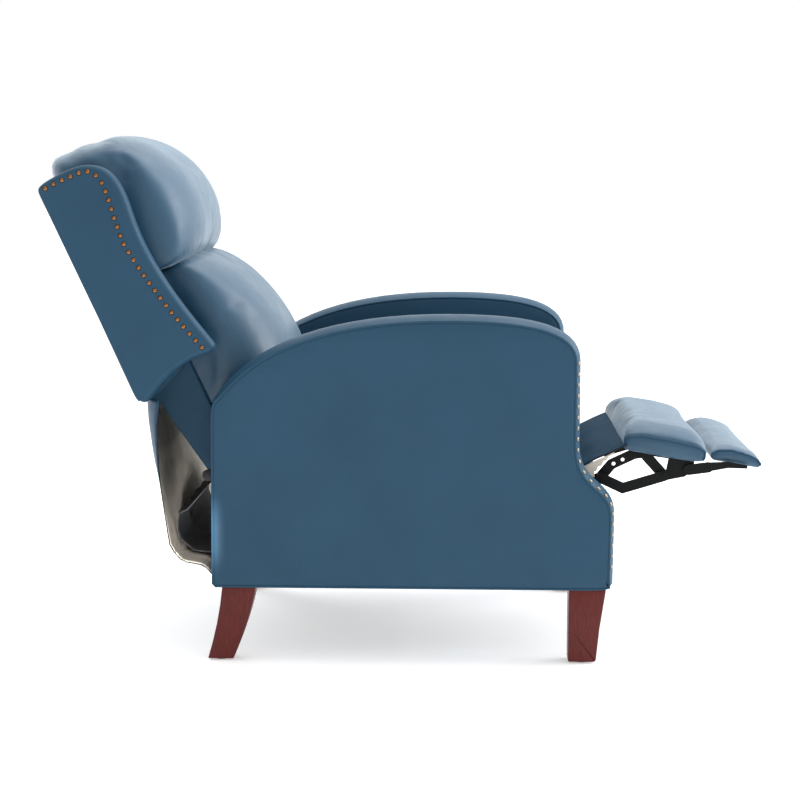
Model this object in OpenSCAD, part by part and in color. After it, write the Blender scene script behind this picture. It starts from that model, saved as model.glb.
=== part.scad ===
// Push-back wing recliner, drawn reclined with the footrest out.
// The chair faces -Y. Side outlines are drawn as [forward, height] points,
// measured forward from the rear edge of the arms and up from the floor.

/* [Chair] */
// Distance between the inner faces of the arms
seat_gap = 540; // [520:5:600]
// Thickness of one arm
arm_w = 95; // [80:1:110]
// Height of the crown of the arms
arm_h = 650; // [640:1:660]
// Height of the underside of the arms above the floor
leg_h = 142; // [130:1:150]

/* [Upholstery] */
// Gap between the cushions and the arms
cushion_gap = 8; // [5:1:14]
// Thickness of one wing
wing_w = 45; // [35:1:50]
// Diameter of a decorative nail head
nail_d = 10.5; // [8:0.5:11]
// Distance between nails on the wings
wing_nail_pitch = 17; // [14:1:22]
// Distance between nails on the arm fronts
arm_nail_pitch = 20; // [16:1:24]

/* [Mechanism] */
// Thickness of the steel links and plates
steel_t = 3; // [2.5:0.5:3.5]
// Width of a link
link_w = 20; // [16:1:22]
// Diameter of the link rivets
rivet_d = 6; // [5:0.5:6]
// Diameter of the main pivot studs
stud_d = 10; // [8:1:12]

/* [Timber] */
// Thickness of the frame timber
rail_t = 25; // [18:1:28]
// Thickness of the footrest boards
board_t = 9; // [6:1:12]

/* [Hidden] */
blue = "#36566F";
timber = "#C9A878";
mahogany = "#6B2F2C";
black_steel = "#222427";
bronze = "#9A7440";
lining = "#B7ABA0";
round_fn = 48;
curve_n = 16;

// The frame's origin lies under the middle of the reclined chair
y0 = 356;
arm_in = seat_gap / 2;
arm_out = arm_in + arm_w;
pad_half = arm_in - cushion_gap;
wing_out = arm_out - 20;
wing_in = wing_out - wing_w;
cover_t = 6;
nail_lift = 0.9;
fit = 0.3;

// Joint centres in the side view
back_hinge = [76, 458];
rear_link_pivot = [626, 264];
upper_pivot = [723, 330];
lower_pivot = [728, 335];
ottoman_pivot = [808, 383];
open_pivot = [847, 340];
flap_pivot = [893, 352];
slide_in = [30, 20];

// Layers of the mechanism across the chair, measured from the middle
plate_x = arm_in - steel_t - 0.5;
link_x = 240;
outer_x = link_x + steel_t + 3;
inner_x = link_x - steel_t - 3;

// The padded boards of the footrest slope down to the front
pad_origin = [767, 399.2];
pad_slope = -8.1;
pad_l = 157;
pad_t = 42;
flap_origin = [932, 378];
flap_slope = -9.5;
flap_l = 100;
flap_t = 33;

function bez(a, b, c, d, n = curve_n) = [for (i = [0 : n]) let (t = i / n, s = 1 - t)
    s * s * s * a + 3 * s * s * t * b + 3 * s * t * t * c + t * t * t * d];
function run(p, i = 0) = i >= len(p) - 1 ? 0 : norm(p[i + 1] - p[i]) + run(p, i + 1);
// The point at distance d along the open line p, and its direction there
function spot(p, d, i = 0) = let (s = norm(p[i + 1] - p[i]))
    d <= s || i >= len(p) - 2 ? p[i] + (p[i + 1] - p[i]) * d / s : spot(p, d - s, i + 1);
function heading(p, d) = let (v = spot(p, d + 1) - spot(p, d - 1)) atan2(v[1], v[0]);

// Outline of a strip of width w along the line p, mitred at its bends and round at its ends
function normal(a, b) = [a[1] - b[1], b[0] - a[0]] / norm(b - a);
function mitre(p, i) = i == 0 ? normal(p[0], p[1])
    : i == len(p) - 1 ? normal(p[i - 1], p[i])
    : let (m = normal(p[i - 1], p[i]), n = normal(p[i], p[i + 1])) (m + n) / (1 + m * n);
function round_end(c, n, r) = let (a = atan2(n[1], n[0]))
    [for (t = [15 : 15 : 165]) c + r * [cos(a - t), sin(a - t)]];
function strip(p, w) = let (r = w / 2, last = len(p) - 1) concat(
    [for (i = [0 : last]) p[i] + r * mitre(p, i)],
    round_end(p[last], mitre(p, last), r),
    [for (i = [last : -1 : 0]) p[i] - r * mitre(p, i)],
    round_end(p[0], -mitre(p, 0), r));

// Side outline of an arm
arm_front_top = bez([440, arm_h], [560, arm_h], [684, arm_h - 10], [682, arm_h - 85]);
arm_front_curve = bez([682, 410], [684, 330], [749, 345], [749, 278]);
arm_front = concat(arm_front_top, arm_front_curve, [[747, leg_h + 8]]);
arm_outline = concat(
    bez([0, 490], [70, arm_h - 50], [230, arm_h], [440, arm_h]),
    arm_front, [[741, leg_h], [6, leg_h], [0, leg_h + 6]]);
arm_hollow = [[8, leg_h + 8], [735, leg_h + 8], [735, 275], [672, 405], [672, 560],
    [620, 615], [440, 636], [250, 618], [100, 560], [8, 470]];

// Side outline of a wing
wing_front = bez([7, 590], [-60, 670], [-115, 740], [-146, 832]);
wing_crown = bez([-146, 832], [-165, 895], [-185, 923], [-225, 923]);
wing_top = bez([-225, 923], [-255, 923], [-285, 903], [-312, 888]);
wing_outline = concat(
    [[-133, 482]], bez([-121, 483], [-85, 535], [-50, 568], [-1, 577]),
    wing_front, wing_crown, wing_top, [[-321, 879], [-317, 868], [-140, 490]]);
// The nails follow the wing's edge from its lower tip to its rear top corner
wing_nail_line = concat(
    bez([-18, 588], [-80, 655], [-130, 725], [-160, 776]),
    bez([-160, 776], [-195, 860], [-190, 911], [-234, 911]),
    bez([-234, 911], [-260, 900], [-290, 888], [-311, 875]));

// Upholstered box of the back, between the wings and down between the arms
back_outline = [[-313, 884], [-228, 918], [23, 400], [60, 372], [60, 343],
    [-16, 343], [-112, 478], [-133, 484]];
back_hollow = [[-302, 880], [-234, 907], [14, 396], [50, 368], [50, 351],
    [-12, 351], [-104, 480], [-127, 492]];
headrest_outline = concat(
    bez([-311, 887], [-345, 935], [-290, 978], [-216, 978]),
    bez([-216, 978], [-110, 982], [-28, 880], [-30, 800]),
    [[-33, 768], [-42, 757], [-110, 728], [-136.5, 733], [-226.5, 920.5]]);
lumbar_outline = concat(
    [[-132.5, 723], [-108, 724]],
    bez([-40, 752], [20, 752], [110, 650], [136, 570]),
    [[160, 520], [158, 490], [120, 470], [-10, 470]]);
seat_outline = [[218, 431], [232, 421], [672, 421], [685, 434], [688, 480],
    [672, 504], [600, 514], [300, 508], [228, 500], [216, 480]];

module side(x0, x1) {
    translate([x1, y0, 0]) rotate([90, 0, -90]) linear_extrude(x1 - x0) children();
}
module bar(p, w) {
    polygon(strip(p, w));
}
module hole(c, d) {
    translate(c) circle(d = d, $fn = round_fn);
}
module pin(c, x0, x1, d) {
    translate([x0, y0 - c[0], c[1]]) rotate([0, 90, 0]) cylinder(h = x1 - x0, d = d, $fn = round_fn);
}
// Parts are drawn on the sitter's left (+X) and mirrored for the right
module hand(s) {
    if (s == "right") mirror([1, 0, 0]) children();
    else children();
}
module pair() {
    children();
    mirror([1, 0, 0]) children();
}
module box(x, u, z) {
    translate([x[0], y0 - u[1], z[0]]) cube([x[1] - x[0], u[1] - u[0], z[1] - z[0]]);
}

// ---- Base: arms, rails, legs and the fixed side plates ----
leg_spots = [[328, 47], [326, 698]];
bolt_spots = [[130, 400], [130, 440], [618, 310]];
module arm_frame(s) {
    x = [290, 345];
    color(timber) hand(s) difference() {
        union() {
            box(x, [12, 735], [leg_h + 9, leg_h + 49]);
            box(x, [12, 52], [leg_h + 9, 468]);
            box(x, [110, 150], [leg_h + 9, 558]);
            box(x, [596, 646], [leg_h + 9, 558]);
            box(x, [110, 646], [522, 558]);
        }
        for (b = bolt_spots) pin(b, 280, 325, rivet_d + fit);
        for (l = leg_spots) translate([l[0], y0 - l[1], leg_h]) cylinder(h = 48, d = 8 + fit, $fn = round_fn);
    }
}
module arm_cover(s) {
    color(blue) hand(s) difference() {
        side(arm_in, arm_out) polygon(arm_outline);
        side(arm_in + cover_t, arm_out - cover_t) polygon(arm_hollow);
        for (b = bolt_spots) pin(b, arm_in - 1, arm_in + cover_t + 1, rivet_d + fit);
        for (l = leg_spots) translate([l[0], y0 - l[1], leg_h - 1]) cylinder(h = 12, d = 8 + fit, $fn = round_fn);
    }
}
module nail() {
    cylinder(h = 1.2, d = nail_d, $fn = 24);
    translate([0, 0, 1.2]) cylinder(h = 1.6, d1 = nail_d, d2 = nail_d / 2, $fn = 24);
}
module arm_nails(s) {
    line = concat([[684, 565]], arm_front_curve, [[747, 180]]);
    n = floor(run(line) / arm_nail_pitch);
    color(bronze) hand(s) for (i = [0 : n]) {
        d = 2 + i * arm_nail_pitch;
        c = spot(line, d);
        translate([arm_out - 9, y0 - c[0], c[1]]) rotate([-heading(line, d), 0, 0])
            translate([0, 0, nail_lift]) nail();
    }
}
module front_rail() {
    color(timber) box([-arm_in, arm_in], [455, 480], [leg_h + 3, 215]);
}
module rear_rail() {
    color(timber) box([-arm_in, arm_in], [8, 30], [leg_h + 3, 208]);
}
module corner_blocks() {
    color(timber) pair() {
        box([arm_in - 50, arm_in], [30, 70], [leg_h + 4, leg_h + 44]);
        box([arm_in - 50, arm_in], [415, 455], [leg_h + 4, leg_h + 44]);
    }
}
module leg_bore(l) {
    translate([l[0], y0 - l[1], leg_h - 32]) cylinder(h = 40, d = 8 + fit, $fn = round_fn);
}
module leg_front(s) {
    color(mahogany) hand(s) difference() {
        intersection() {
            side(285, 365) polygon([[664, leg_h], [733, leg_h], [722, 70], [716, 6], [710, 3], [664, 3]]);
            translate([0, y0, 0]) rotate([90, 0, 0]) linear_extrude(900)
                polygon([[292, leg_h], [360, leg_h], [358, 70], [352, 3], [302, 3], [296, 70]]);
        }
        leg_bore(leg_spots[1]);
    }
}
module leg_rear(s) {
    back_edge = bez([18, leg_h], [14, 95], [4, 50], [-10, 3]);
    front_edge = bez([38, 3], [60, 55], [74, 100], [81, leg_h]);
    color(mahogany) hand(s) difference() {
        intersection() {
            side(285, 365) polygon(concat(back_edge, front_edge));
            translate([0, y0 + 60, 0]) rotate([90, 0, 0]) linear_extrude(200)
                polygon([[296, leg_h], [360, leg_h], [352, 3], [304, 3]]);
        }
        leg_bore(leg_spots[0]);
    }
}
module leg_glides() {
    color("#2A2A2A") pair() {
        translate([328, y0 - 14, 0]) cylinder(h = 3, d = 26, $fn = round_fn);
        translate([327, y0 - 689, 0]) cylinder(h = 3, d = 26, $fn = round_fn);
    }
}
module leg_bolts() {
    color("silver") pair() for (l = leg_spots)
        translate([l[0], y0 - l[1], leg_h - 30]) cylinder(h = 74, d = 8, $fn = round_fn);
}
// Slanted slots guide the seat's pins
slot_rear = [300, 388];
slot_front = [480, 388];
module slot(c) {
    bar([c, c - slide_in], stud_d + 0.6);
}
module side_plate(s) {
    color(black_steel) hand(s) difference() {
        side(plate_x, plate_x + steel_t) difference() {
            polygon([[48, 425], [48, 482], [108, 482], [175, 428], [530, 428], [565, 345],
                [652, 320], [652, 240], [600, 240], [500, 335], [105, 335]]);
            hole(back_hinge, stud_d + 2.1);
            hole(rear_link_pivot, stud_d + 0.1);
            slot(slot_rear);
            slot(slot_front);
            for (b = bolt_spots) hole(b, rivet_d + fit);
        }
    }
}
module plate_bolts() {
    color("silver") pair() for (b = bolt_spots) {
        pin(b, plate_x - 4, plate_x, 14);
        pin(b, plate_x, 322, rivet_d);
    }
}
module dust_cover() {
    color("#1C1C1C") box([-arm_in + 4, arm_in - 4], [10, 478], [leg_h, leg_h + 2.5]);
}

// ---- Seat, which moves forward and up as the chair reclines ----
frame_half = 214;
module seat_frame() {
    color(timber) {
        pair() box([frame_half - rail_t, frame_half], [250, 660], [368, 418]);
        box([-frame_half + rail_t, frame_half - rail_t], [635, 660], [368, 418]);
        box([-frame_half + rail_t, frame_half - rail_t], [250, 275], [368, 418]);
    }
}
module seat_springs() {
    color("gray") for (x = [-140 : 70 : 140])
        for (i = [0 : 11]) box([x - 18 * (i % 2), x + 18 - 18 * (i % 2)], [280 + 29 * i, 284 + 29 * i], [398, 402]);
    color("gray") for (x = [-140 : 70 : 140]) box([x - 2, x + 2], [276, 634], [398, 402]);
}
module seat_cushion() {
    color(blue) side(-pad_half, pad_half) polygon(seat_outline);
}
module seat_brackets() {
    color(black_steel) pair() {
        box([frame_half, plate_x - 6], [280, 320], [404, 408]);
        box([frame_half, plate_x - 6], [460, 500], [404, 408]);
        box([plate_x - 6, plate_x - 3], [280, 500], [374, 408]);
        for (c = [slot_rear, slot_front]) pin(c, plate_x - 6, plate_x + steel_t, stud_d);
    }
}

// ---- Back ----
module back_frame() {
    up = [-0.431, 0.903];
    in = [0.903, 0.431];
    foot = [-98, 483] + in * 12;
    function p(a, b) = foot + up * a + in * b;
    color(timber) {
        pair() side(218, 250) polygon([p(-70, 6), p(-70, 44), p(420, 44), p(420, -16), p(0, -12)]);
        side(-218, 218) polygon([p(380, -16), p(380, 44), p(420, 44), p(420, -16)]);
        side(-218, 218) polygon([p(200, -16), p(200, 8), p(240, 8), p(240, -16)]);
        side(-218, 218) polygon([p(-60, 14), p(-60, 40), p(-10, 40), p(-10, 14)]);
    }
}
module back_springs() {
    up = [-0.431, 0.903];
    in = [0.903, 0.431];
    foot = [-98, 483] + in * 12;
    function p(a, b) = foot + up * a + in * b;
    color("gray") for (x = [-140 : 70 : 140])
        side(x - 2, x + 2) polygon([p(-8, 36), p(-8, 40), p(378, 40), p(378, 36)]);
    color("gray") for (x = [-140 : 70 : 140]) for (i = [0 : 10])
        side(x - 18 * (i % 2), x + 18 - 18 * (i % 2))
            polygon([p(15 + 32 * i, 36), p(15 + 32 * i, 40), p(19 + 32 * i, 40), p(19 + 32 * i, 36)]);
}
module back_cover() {
    color(blue) difference() {
        side(-pad_half, pad_half) polygon(back_outline);
        side(-pad_half + cover_t, pad_half - cover_t) polygon(back_hollow);
    }
}
module wing(s) {
    color(blue) hand(s) {
        side(wing_in, wing_out) polygon(wing_outline);
        side(pad_half + fit, wing_in)
            polygon([[-133, 484], [-313, 884], [-240, 905], [-60, 545], [-112, 490]]);
    }
}
module wing_nails(s) {
    n = floor(run(wing_nail_line) / wing_nail_pitch);
    color(bronze) hand(s) for (i = [0 : n]) {
        c = spot(wing_nail_line, i * wing_nail_pitch);
        translate([wing_out, y0 - c[0], c[1]]) rotate([0, 90, 0]) nail();
    }
}
module headrest_pillow() {
    color(blue) side(-wing_in + 6, wing_in - 6) polygon(headrest_outline);
}
module lumbar_pillow() {
    color(blue) side(-pad_half + 2, pad_half - 2) polygon(lumbar_outline);
}
module back_bracket(s) {
    color(black_steel) hand(s) difference() {
        side(pad_half, pad_half + steel_t) bar([back_hinge, [44, 392], [22, 345], [-18, 337]], 22);
        pin(back_hinge, pad_half - 1, pad_half + steel_t + 1, stud_d + 2);
    }
}
module back_pins() {
    color("silver") pair() {
        pin(back_hinge, pad_half, plate_x + steel_t, stud_d + 1.9);
    }
}

// ---- Footrest linkage, in layers side by side ----
module rear_link(s) {
    color(black_steel) hand(s) {
        side(link_x, link_x + steel_t) difference() {
            bar([rear_link_pivot, [680, 318], [731, 337]], link_w);
            hole(upper_pivot, rivet_d + 0.1);
            hole(lower_pivot, rivet_d + 0.1);
        }
        pin(rear_link_pivot, link_x + steel_t, plate_x + steel_t, stud_d);
    }
}
torque_spot = [652, 290];
module torque_tube() {
    color(black_steel) difference() {
        pin(torque_spot, -link_x, link_x, 18);
        pin(torque_spot, -link_x - 1, link_x + 1, 14);
    }
}
module upper_link(s) {
    color(black_steel) hand(s) side(inner_x, inner_x + steel_t) difference() {
        bar([upper_pivot, [748, 360], [790, 380], ottoman_pivot], link_w);
        hole(upper_pivot, rivet_d + 0.1);
        hole(ottoman_pivot, rivet_d + 0.1);
        hole([752, 361], 7);
        hole([769, 369], 7);
    }
}
module upper_pins() {
    color("silver") pair() pin(upper_pivot, inner_x - 2, link_x + steel_t, rivet_d);
}
module lower_link(s) {
    color(black_steel) hand(s) side(outer_x, outer_x + steel_t) difference() {
        bar([lower_pivot, [769, 316], open_pivot], link_w);
        hole(lower_pivot, rivet_d + 0.1);
        hole(open_pivot, rivet_d);
    }
}
// The rivets at the open pivot stop short of the ottoman bracket
module lower_pins() {
    color("silver") pair() {
        pin(lower_pivot, link_x, outer_x + steel_t + 2, rivet_d);
        pin(open_pivot, outer_x - 2.5, outer_x + steel_t, rivet_d);
        pin(open_pivot, outer_x + steel_t, outer_x + steel_t + 2, rivet_d + 4);
    }
}
module ottoman_bracket(s) {
    color(black_steel) hand(s) side(link_x, link_x + steel_t) difference() {
        union() {
            bar([[790, 388.5], [898, 373]], 13);
            bar([ottoman_pivot, open_pivot], link_w);
            polygon([[856, 376], [904, 370], [904, 350], [886, 338], [847, 330]]);
        }
        hole(ottoman_pivot, rivet_d + 0.1);
        hole(flap_pivot, rivet_d + 0.1);
    }
}
module ottoman_pins() {
    color("silver") pair() {
        pin(ottoman_pivot, inner_x, link_x + steel_t, rivet_d);
        pin(ottoman_pivot, inner_x - 2, inner_x, rivet_d + 4);
    }
}
module sloped(origin, slope) {
    translate(origin) rotate(slope) children();
}
module ottoman_board() {
    color(timber) side(-pad_half + 6, pad_half - 6) sloped(pad_origin, pad_slope)
        translate([6, 0]) square([pad_l - 12, board_t]);
}
module ottoman_pad() {
    color(blue) side(-pad_half, pad_half) sloped(pad_origin, pad_slope)
        polygon([[2, board_t], [0, 20], [8, 34], [35, pad_t], [90, pad_t], [135, 37],
            [153, 27], [pad_l, 16], [pad_l - 2, board_t]]);
}
module flap_bracket(s) {
    color(black_steel) hand(s) side(outer_x, outer_x + steel_t) difference() {
        union() {
            bar([flap_pivot, [930, 357]], link_w);
            polygon([[922, 347.5], [968, 356], [1004, 355], [1004, 361], [968, 368], [922, 366]]);
        }
        hole(flap_pivot, rivet_d + 0.1);
    }
}
module flap_pins() {
    color("silver") pair() pin(flap_pivot, link_x, outer_x + steel_t, rivet_d);
}
module flap_board() {
    color(timber) side(-pad_half + 10, pad_half - 10) sloped(flap_origin, flap_slope)
        translate([6, 0]) square([flap_l - 12, board_t]);
}
module flap_pad() {
    color(blue) side(-pad_half + 4, pad_half - 4) sloped(flap_origin, flap_slope)
        polygon([[2, board_t], [1, 16], [12, 27], [34, flap_t], [60, 31],
            [88, 24], [flap_l, 13], [flap_l - 2, board_t]]);
}

// ---- Loose fabric ----
module rear_flap() {
    outside = concat([[-126, 481], [-121, 445]], bez([-109, 385], [-95, 295], [-85, 182], [-42, 181]),
        [[-24, 178], [-2, 162]]);
    t = 2.5;
    inside = [for (i = [len(outside) - 1 : -1 : 0]) outside[i] + (i < 12 ? [t, 0] : [0, t])];
    color(lining) side(-arm_out + 30, arm_out - 30) polygon(concat(outside, inside));
}
module inner_liner() {
    outside = [[-14, 340], [-74, 262], [-80, 235], [-70, 208], [-40, 188], [6, 186]];
    inside = [[6, 188.5], [-39, 190.5], [-68, 210], [-77.5, 235], [-71.5, 261], [-11, 339]];
    color("#151515") side(-pad_half + 10, pad_half - 10) polygon(concat(outside, inside));
}
module leg_panel() {
    color(blue) side(-pad_half + 2, pad_half - 2)
        polygon([[664, 352], [664, 354.5], [700, 371], [765, 404], [766, 401], [701, 368]]);
}

arm_frame("right");  // arm_frame_right
arm_frame("left");  // arm_frame_left
arm_cover("right");  // arm_cover_right
arm_cover("left");  // arm_cover_left
arm_nails("right");  // arm_nails_right
arm_nails("left");  // arm_nails_left
front_rail();
rear_rail();
corner_blocks();
leg_front("right");  // leg_front_right
leg_front("left");  // leg_front_left
leg_rear("right");  // leg_rear_right
leg_rear("left");  // leg_rear_left
leg_glides();
leg_bolts();
side_plate("right");  // side_plate_right
side_plate("left");  // side_plate_left
plate_bolts();
dust_cover();
seat_frame();
seat_springs();
seat_cushion();
seat_brackets();
back_frame();
back_springs();
back_cover();
wing("right");  // wing_right
wing("left");  // wing_left
wing_nails("right");  // wing_nails_right
wing_nails("left");  // wing_nails_left
headrest_pillow();
lumbar_pillow();
back_bracket("right");  // back_bracket_right
back_bracket("left");  // back_bracket_left
back_pins();
rear_link("right");  // rear_link_right
rear_link("left");  // rear_link_left
torque_tube();
upper_link("right");  // upper_link_right
upper_link("left");  // upper_link_left
upper_pins();
lower_link("right");  // lower_link_right
lower_link("left");  // lower_link_left
lower_pins();
ottoman_bracket("right");  // ottoman_bracket_right
ottoman_bracket("left");  // ottoman_bracket_left
ottoman_pins();
ottoman_board();
ottoman_pad();
flap_bracket("right");  // flap_bracket_right
flap_bracket("left");  // flap_bracket_left
flap_pins();
flap_board();
flap_pad();
rear_flap();
inner_liner();
leg_panel();
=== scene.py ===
"""Upholstery, trim, finishes and studio of a push-back wing recliner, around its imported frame."""

import math

import bmesh
import bpy
from bpy.props import FloatProperty, FloatVectorProperty, PointerProperty
from mathutils import Matrix, Vector, kdtree, noise
from mathutils.bvhtree import BVHTree


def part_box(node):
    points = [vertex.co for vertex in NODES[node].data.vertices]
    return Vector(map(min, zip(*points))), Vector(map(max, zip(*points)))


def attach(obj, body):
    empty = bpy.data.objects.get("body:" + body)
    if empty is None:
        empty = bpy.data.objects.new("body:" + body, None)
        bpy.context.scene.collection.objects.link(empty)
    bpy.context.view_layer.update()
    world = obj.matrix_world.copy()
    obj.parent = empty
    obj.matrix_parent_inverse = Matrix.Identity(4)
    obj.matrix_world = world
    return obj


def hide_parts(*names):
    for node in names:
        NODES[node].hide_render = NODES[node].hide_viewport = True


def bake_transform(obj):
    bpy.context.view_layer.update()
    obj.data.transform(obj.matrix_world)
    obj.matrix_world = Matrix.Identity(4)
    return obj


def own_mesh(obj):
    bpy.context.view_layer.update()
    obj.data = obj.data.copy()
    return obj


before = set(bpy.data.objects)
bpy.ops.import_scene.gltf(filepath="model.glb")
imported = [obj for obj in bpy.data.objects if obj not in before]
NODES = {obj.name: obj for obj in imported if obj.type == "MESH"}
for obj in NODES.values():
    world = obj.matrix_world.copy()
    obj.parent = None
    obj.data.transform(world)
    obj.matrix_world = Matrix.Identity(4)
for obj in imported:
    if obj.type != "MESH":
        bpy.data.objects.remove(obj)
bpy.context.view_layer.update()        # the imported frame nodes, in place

bl_info = {
    "name": "Wing recliner",
    "version": (1, 0, 0),
    "blender": (4, 5, 0),
    "location": "3D View > Sidebar > Recliner",
    "description": "Builds the upholstery, trim and finishes of a wing recliner",
    "category": "Object",
}

MM = 0.001
SIDES = ("right", "left")
WELD = 0.01 * MM  # corners of a frame node's mesh this near are one corner
CAP_CORNERS = 12  # faces with more corners than this are cut into a grid
ROUND = [math.tau * i / 8 for i in range(8)]  # corners of the section of a piping
SIM_FRAMES = 20  # frames that the stuffing is given to settle
PRESSURE = 4  # pressure of the stuffing
END_STEPS = 12  # sections in the rounded end of a cushion
COLUMNS = 48  # strips across a loose sheet
LONGER = 0.08  # share by which a footrest pad is longer than its node
BACK_NORMAL = (0.903, 0.431)  # forward from the back, in the side view

# Side views are drawn as [forward, height] points. Forward is measured from the arms' rear edge.
ARM_LOW, ARM_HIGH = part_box("arm_cover_left")
REAR = ARM_HIGH.y
WING_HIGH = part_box("wing_left")[1]


def linear(hex_colour):
    """Turn an sRGB hex colour into the linear values that shaders take."""
    parts = [int(hex_colour[i : i + 2], 16) / 255 for i in (1, 3, 5)]
    return [c / 12.92 if c <= 0.04045 else ((c + 0.055) / 1.055) ** 2.4 for c in parts]


def colour(name, description, hex_colour):
    """A colour in the panel."""
    return FloatVectorProperty(
        name=name, description=description, subtype="COLOR", size=3, min=0, max=1, default=linear(hex_colour)
    )


def length(name, description, millimetres):
    """A length in the panel."""
    return FloatProperty(name=name, description=description, unit="LENGTH", default=millimetres * MM, min=0)


class ReclinerSizes(bpy.types.PropertyGroup):
    """Sizes that an upholsterer would change."""

    arm_crown: length("Arm crown", "Rise of the padding along the top and front of an arm", 10.5)
    piping: length("Piping", "Diameter of the piping along the seams", 4.6)
    wing_roll: length("Wing roll", "Width of the rolled edge round a wing", 11)
    cushion_swell: length("Cushion swell", "Most that the stuffing pushes a cushion out", 17)
    pad_swell: length("Pad swell", "Most that the stuffing pushes a footrest pad out", 9)
    nail_width: length("Nail width", "Diameter of a decorative nail head", 8.4)
    nail_height: length("Nail height", "Rise of a decorative nail head", 2.8)
    flap_curl: length("Flap curl", "How far the sides of the loose rear panel curl in at its top", 43)


class ReclinerColours(bpy.types.PropertyGroup):
    """Colours of the finishes."""

    leather: colour("Leather", "Coated upholstery cloth", "#284A61")
    lining: colour("Lining", "Inner side of the loose panels", "#DED2C2")
    mahogany: colour("Mahogany", "Stained legs", "#5C1C16")
    brass: colour("Brass", "Decorative nails", "#A9744A")
    poplar: colour("Poplar", "Timber inside the frame", "#CDAE80")
    enamel: colour("Enamel", "Paint of the mechanism", "#101112")
    floor: colour("Floor", "Studio floor", "#F2F3F4")


# ---- Side outlines ----


def place(x, point):
    """Turn a side view point, forward and height, into a point of the frame."""
    return Vector((x, REAR - point[0], point[1]))


def mm(*pairs):
    """Side view points written in millimetres."""
    return [Vector((u * MM, z * MM)) for u, z in pairs]


def welded(name):
    """A frame node's mesh with its corners joined."""
    bm = bmesh.new()
    bm.from_mesh(NODES[name].data)
    bmesh.ops.remove_doubles(bm, verts=bm.verts, dist=WELD)
    return bm


def outline(name, x):
    """Side outline of a frame node where the plane at x cuts it, counter-clockwise."""
    bm = welded(name)
    everything = bm.verts[:] + bm.edges[:] + bm.faces[:]
    bmesh.ops.bisect_plane(
        bm, geom=everything, plane_co=(x, 0, 0), plane_no=(1, 0, 0), clear_inner=True, clear_outer=True
    )
    loops = []
    left = set(bm.verts)
    while left:
        start = vert = min(left, key=lambda v: (v.co.y, v.co.z))
        line = []
        while vert is not None:
            left.discard(vert)
            line.append(Vector((REAR - vert.co.y, vert.co.z)))
            ahead = [e.other_vert(vert) for e in vert.link_edges]
            vert = next((v for v in ahead if v in left), None)
        loops.append(line)
        left.discard(start)
    bm.free()
    longest = max(loops, key=lambda line: abs(enclosed(line)))
    return longest if enclosed(longest) > 0 else longest[::-1]


def enclosed(points):
    """Signed area inside a closed line."""
    return sum(a.x * b.y - b.x * a.y for a, b in zip(points, points[1:] + points[:1])) / 2


def even(points, step, closed=True):
    """The same line with long stretches divided and crowded points thinned."""
    kept = [points[0]]
    for p in points[1:]:
        if (p - kept[-1]).length > 0.4 * step:
            kept.append(p)
    following = kept[1:] + kept[:1] if closed else kept[1:]
    out = []
    for a, b in zip(kept, following):
        n = max(1, round((b - a).length / step))
        out += [a.lerp(b, i / n) for i in range(n)]
    return out if closed else out + [kept[-1]]


def relax(points, times):
    """Round off the corners of a closed line, or even out a closed row of numbers."""
    for _ in range(times):
        points = [
            (a + 2 * p + b) / 4 for a, p, b in zip(points[-1:] + points[:-1], points, points[1:] + points[:1])
        ]
    return points


def outward(points):
    """Outward normal at each point of a closed line."""
    result = []
    for a, b in zip(points[-1:] + points[:-1], points[1:] + points[:1]):
        run = (b - a).normalized()
        result.append(Vector((run.y, -run.x)))
    return result


def inset(points, amounts):
    """Move each point of a closed line inwards, and less where the line turns tightly."""
    count = len(points)
    if not isinstance(amounts, list):
        amounts = [amounts] * count
    limited = []
    for i, amount in enumerate(amounts):
        before, after = points[i] - points[i - 1], points[(i + 1) % count] - points[i]
        turn = before.angle_signed(after, 0)
        bend = -turn if turn < 0 else turn
        room = 0.8 * (before.length + after.length) / 2 / max(bend, 1e-3)
        limited.append(min(amount, room))
    return [p - n * d for p, n, d in zip(points, outward(points), relax(limited, 4))]


def ease(value, low, high):
    """Smooth step from 0 at low to 1 at high."""
    t = min(max((value - low) / (high - low), 0), 1)
    return t * t * (3 - 2 * t)


# ---- Mesh building ----


def both_halves(rings):
    """The rings on one side of the chair, and then their mirror images on the other."""
    return rings + [[Vector((-p.x, p.y, p.z)) for p in ring] for ring in rings[::-1]]


def grow(bm, ring, places, closed):
    """Extrude a line of vertices to new places and return the new line."""
    ends = list(zip(ring, ring[1:] + ring[:1])) if closed else list(zip(ring, ring[1:]))
    edges = [bm.edges.get(pair) for pair in ends]
    made = bmesh.ops.extrude_edge_only(bm, edges=edges)["geom"]
    fresh = {g for g in made if isinstance(g, bmesh.types.BMVert)}
    new = [next(e.other_vert(v) for e in v.link_edges if e.other_vert(v) in fresh) for v in ring]
    for vert, co in zip(new, places):
        vert.co = co
    return new


def skin(rings, closed=True, join=False):
    """A mesh that passes through the rings: joined end to end, capped, or open if the rings are lines."""
    bm = bmesh.new()
    first = ring = [bm.verts.new(co) for co in rings[0]]
    for pair in zip(ring, ring[1:] + ring[:1] if closed else ring[1:]):
        bm.edges.new(pair)
    for places in rings[1:]:
        ring = grow(bm, ring, places, closed)
    if join:
        loop = [bm.edges.get(p) for line in (first, ring) for p in zip(line, line[1:] + line[:1])]
        bmesh.ops.bridge_loops(bm, edges=loop)
    elif closed:
        for line in (first, ring):
            bmesh.ops.contextual_create(bm, geom=[bm.edges.get(p) for p in zip(line, line[1:] + line[:1])])
    return bm


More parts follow.
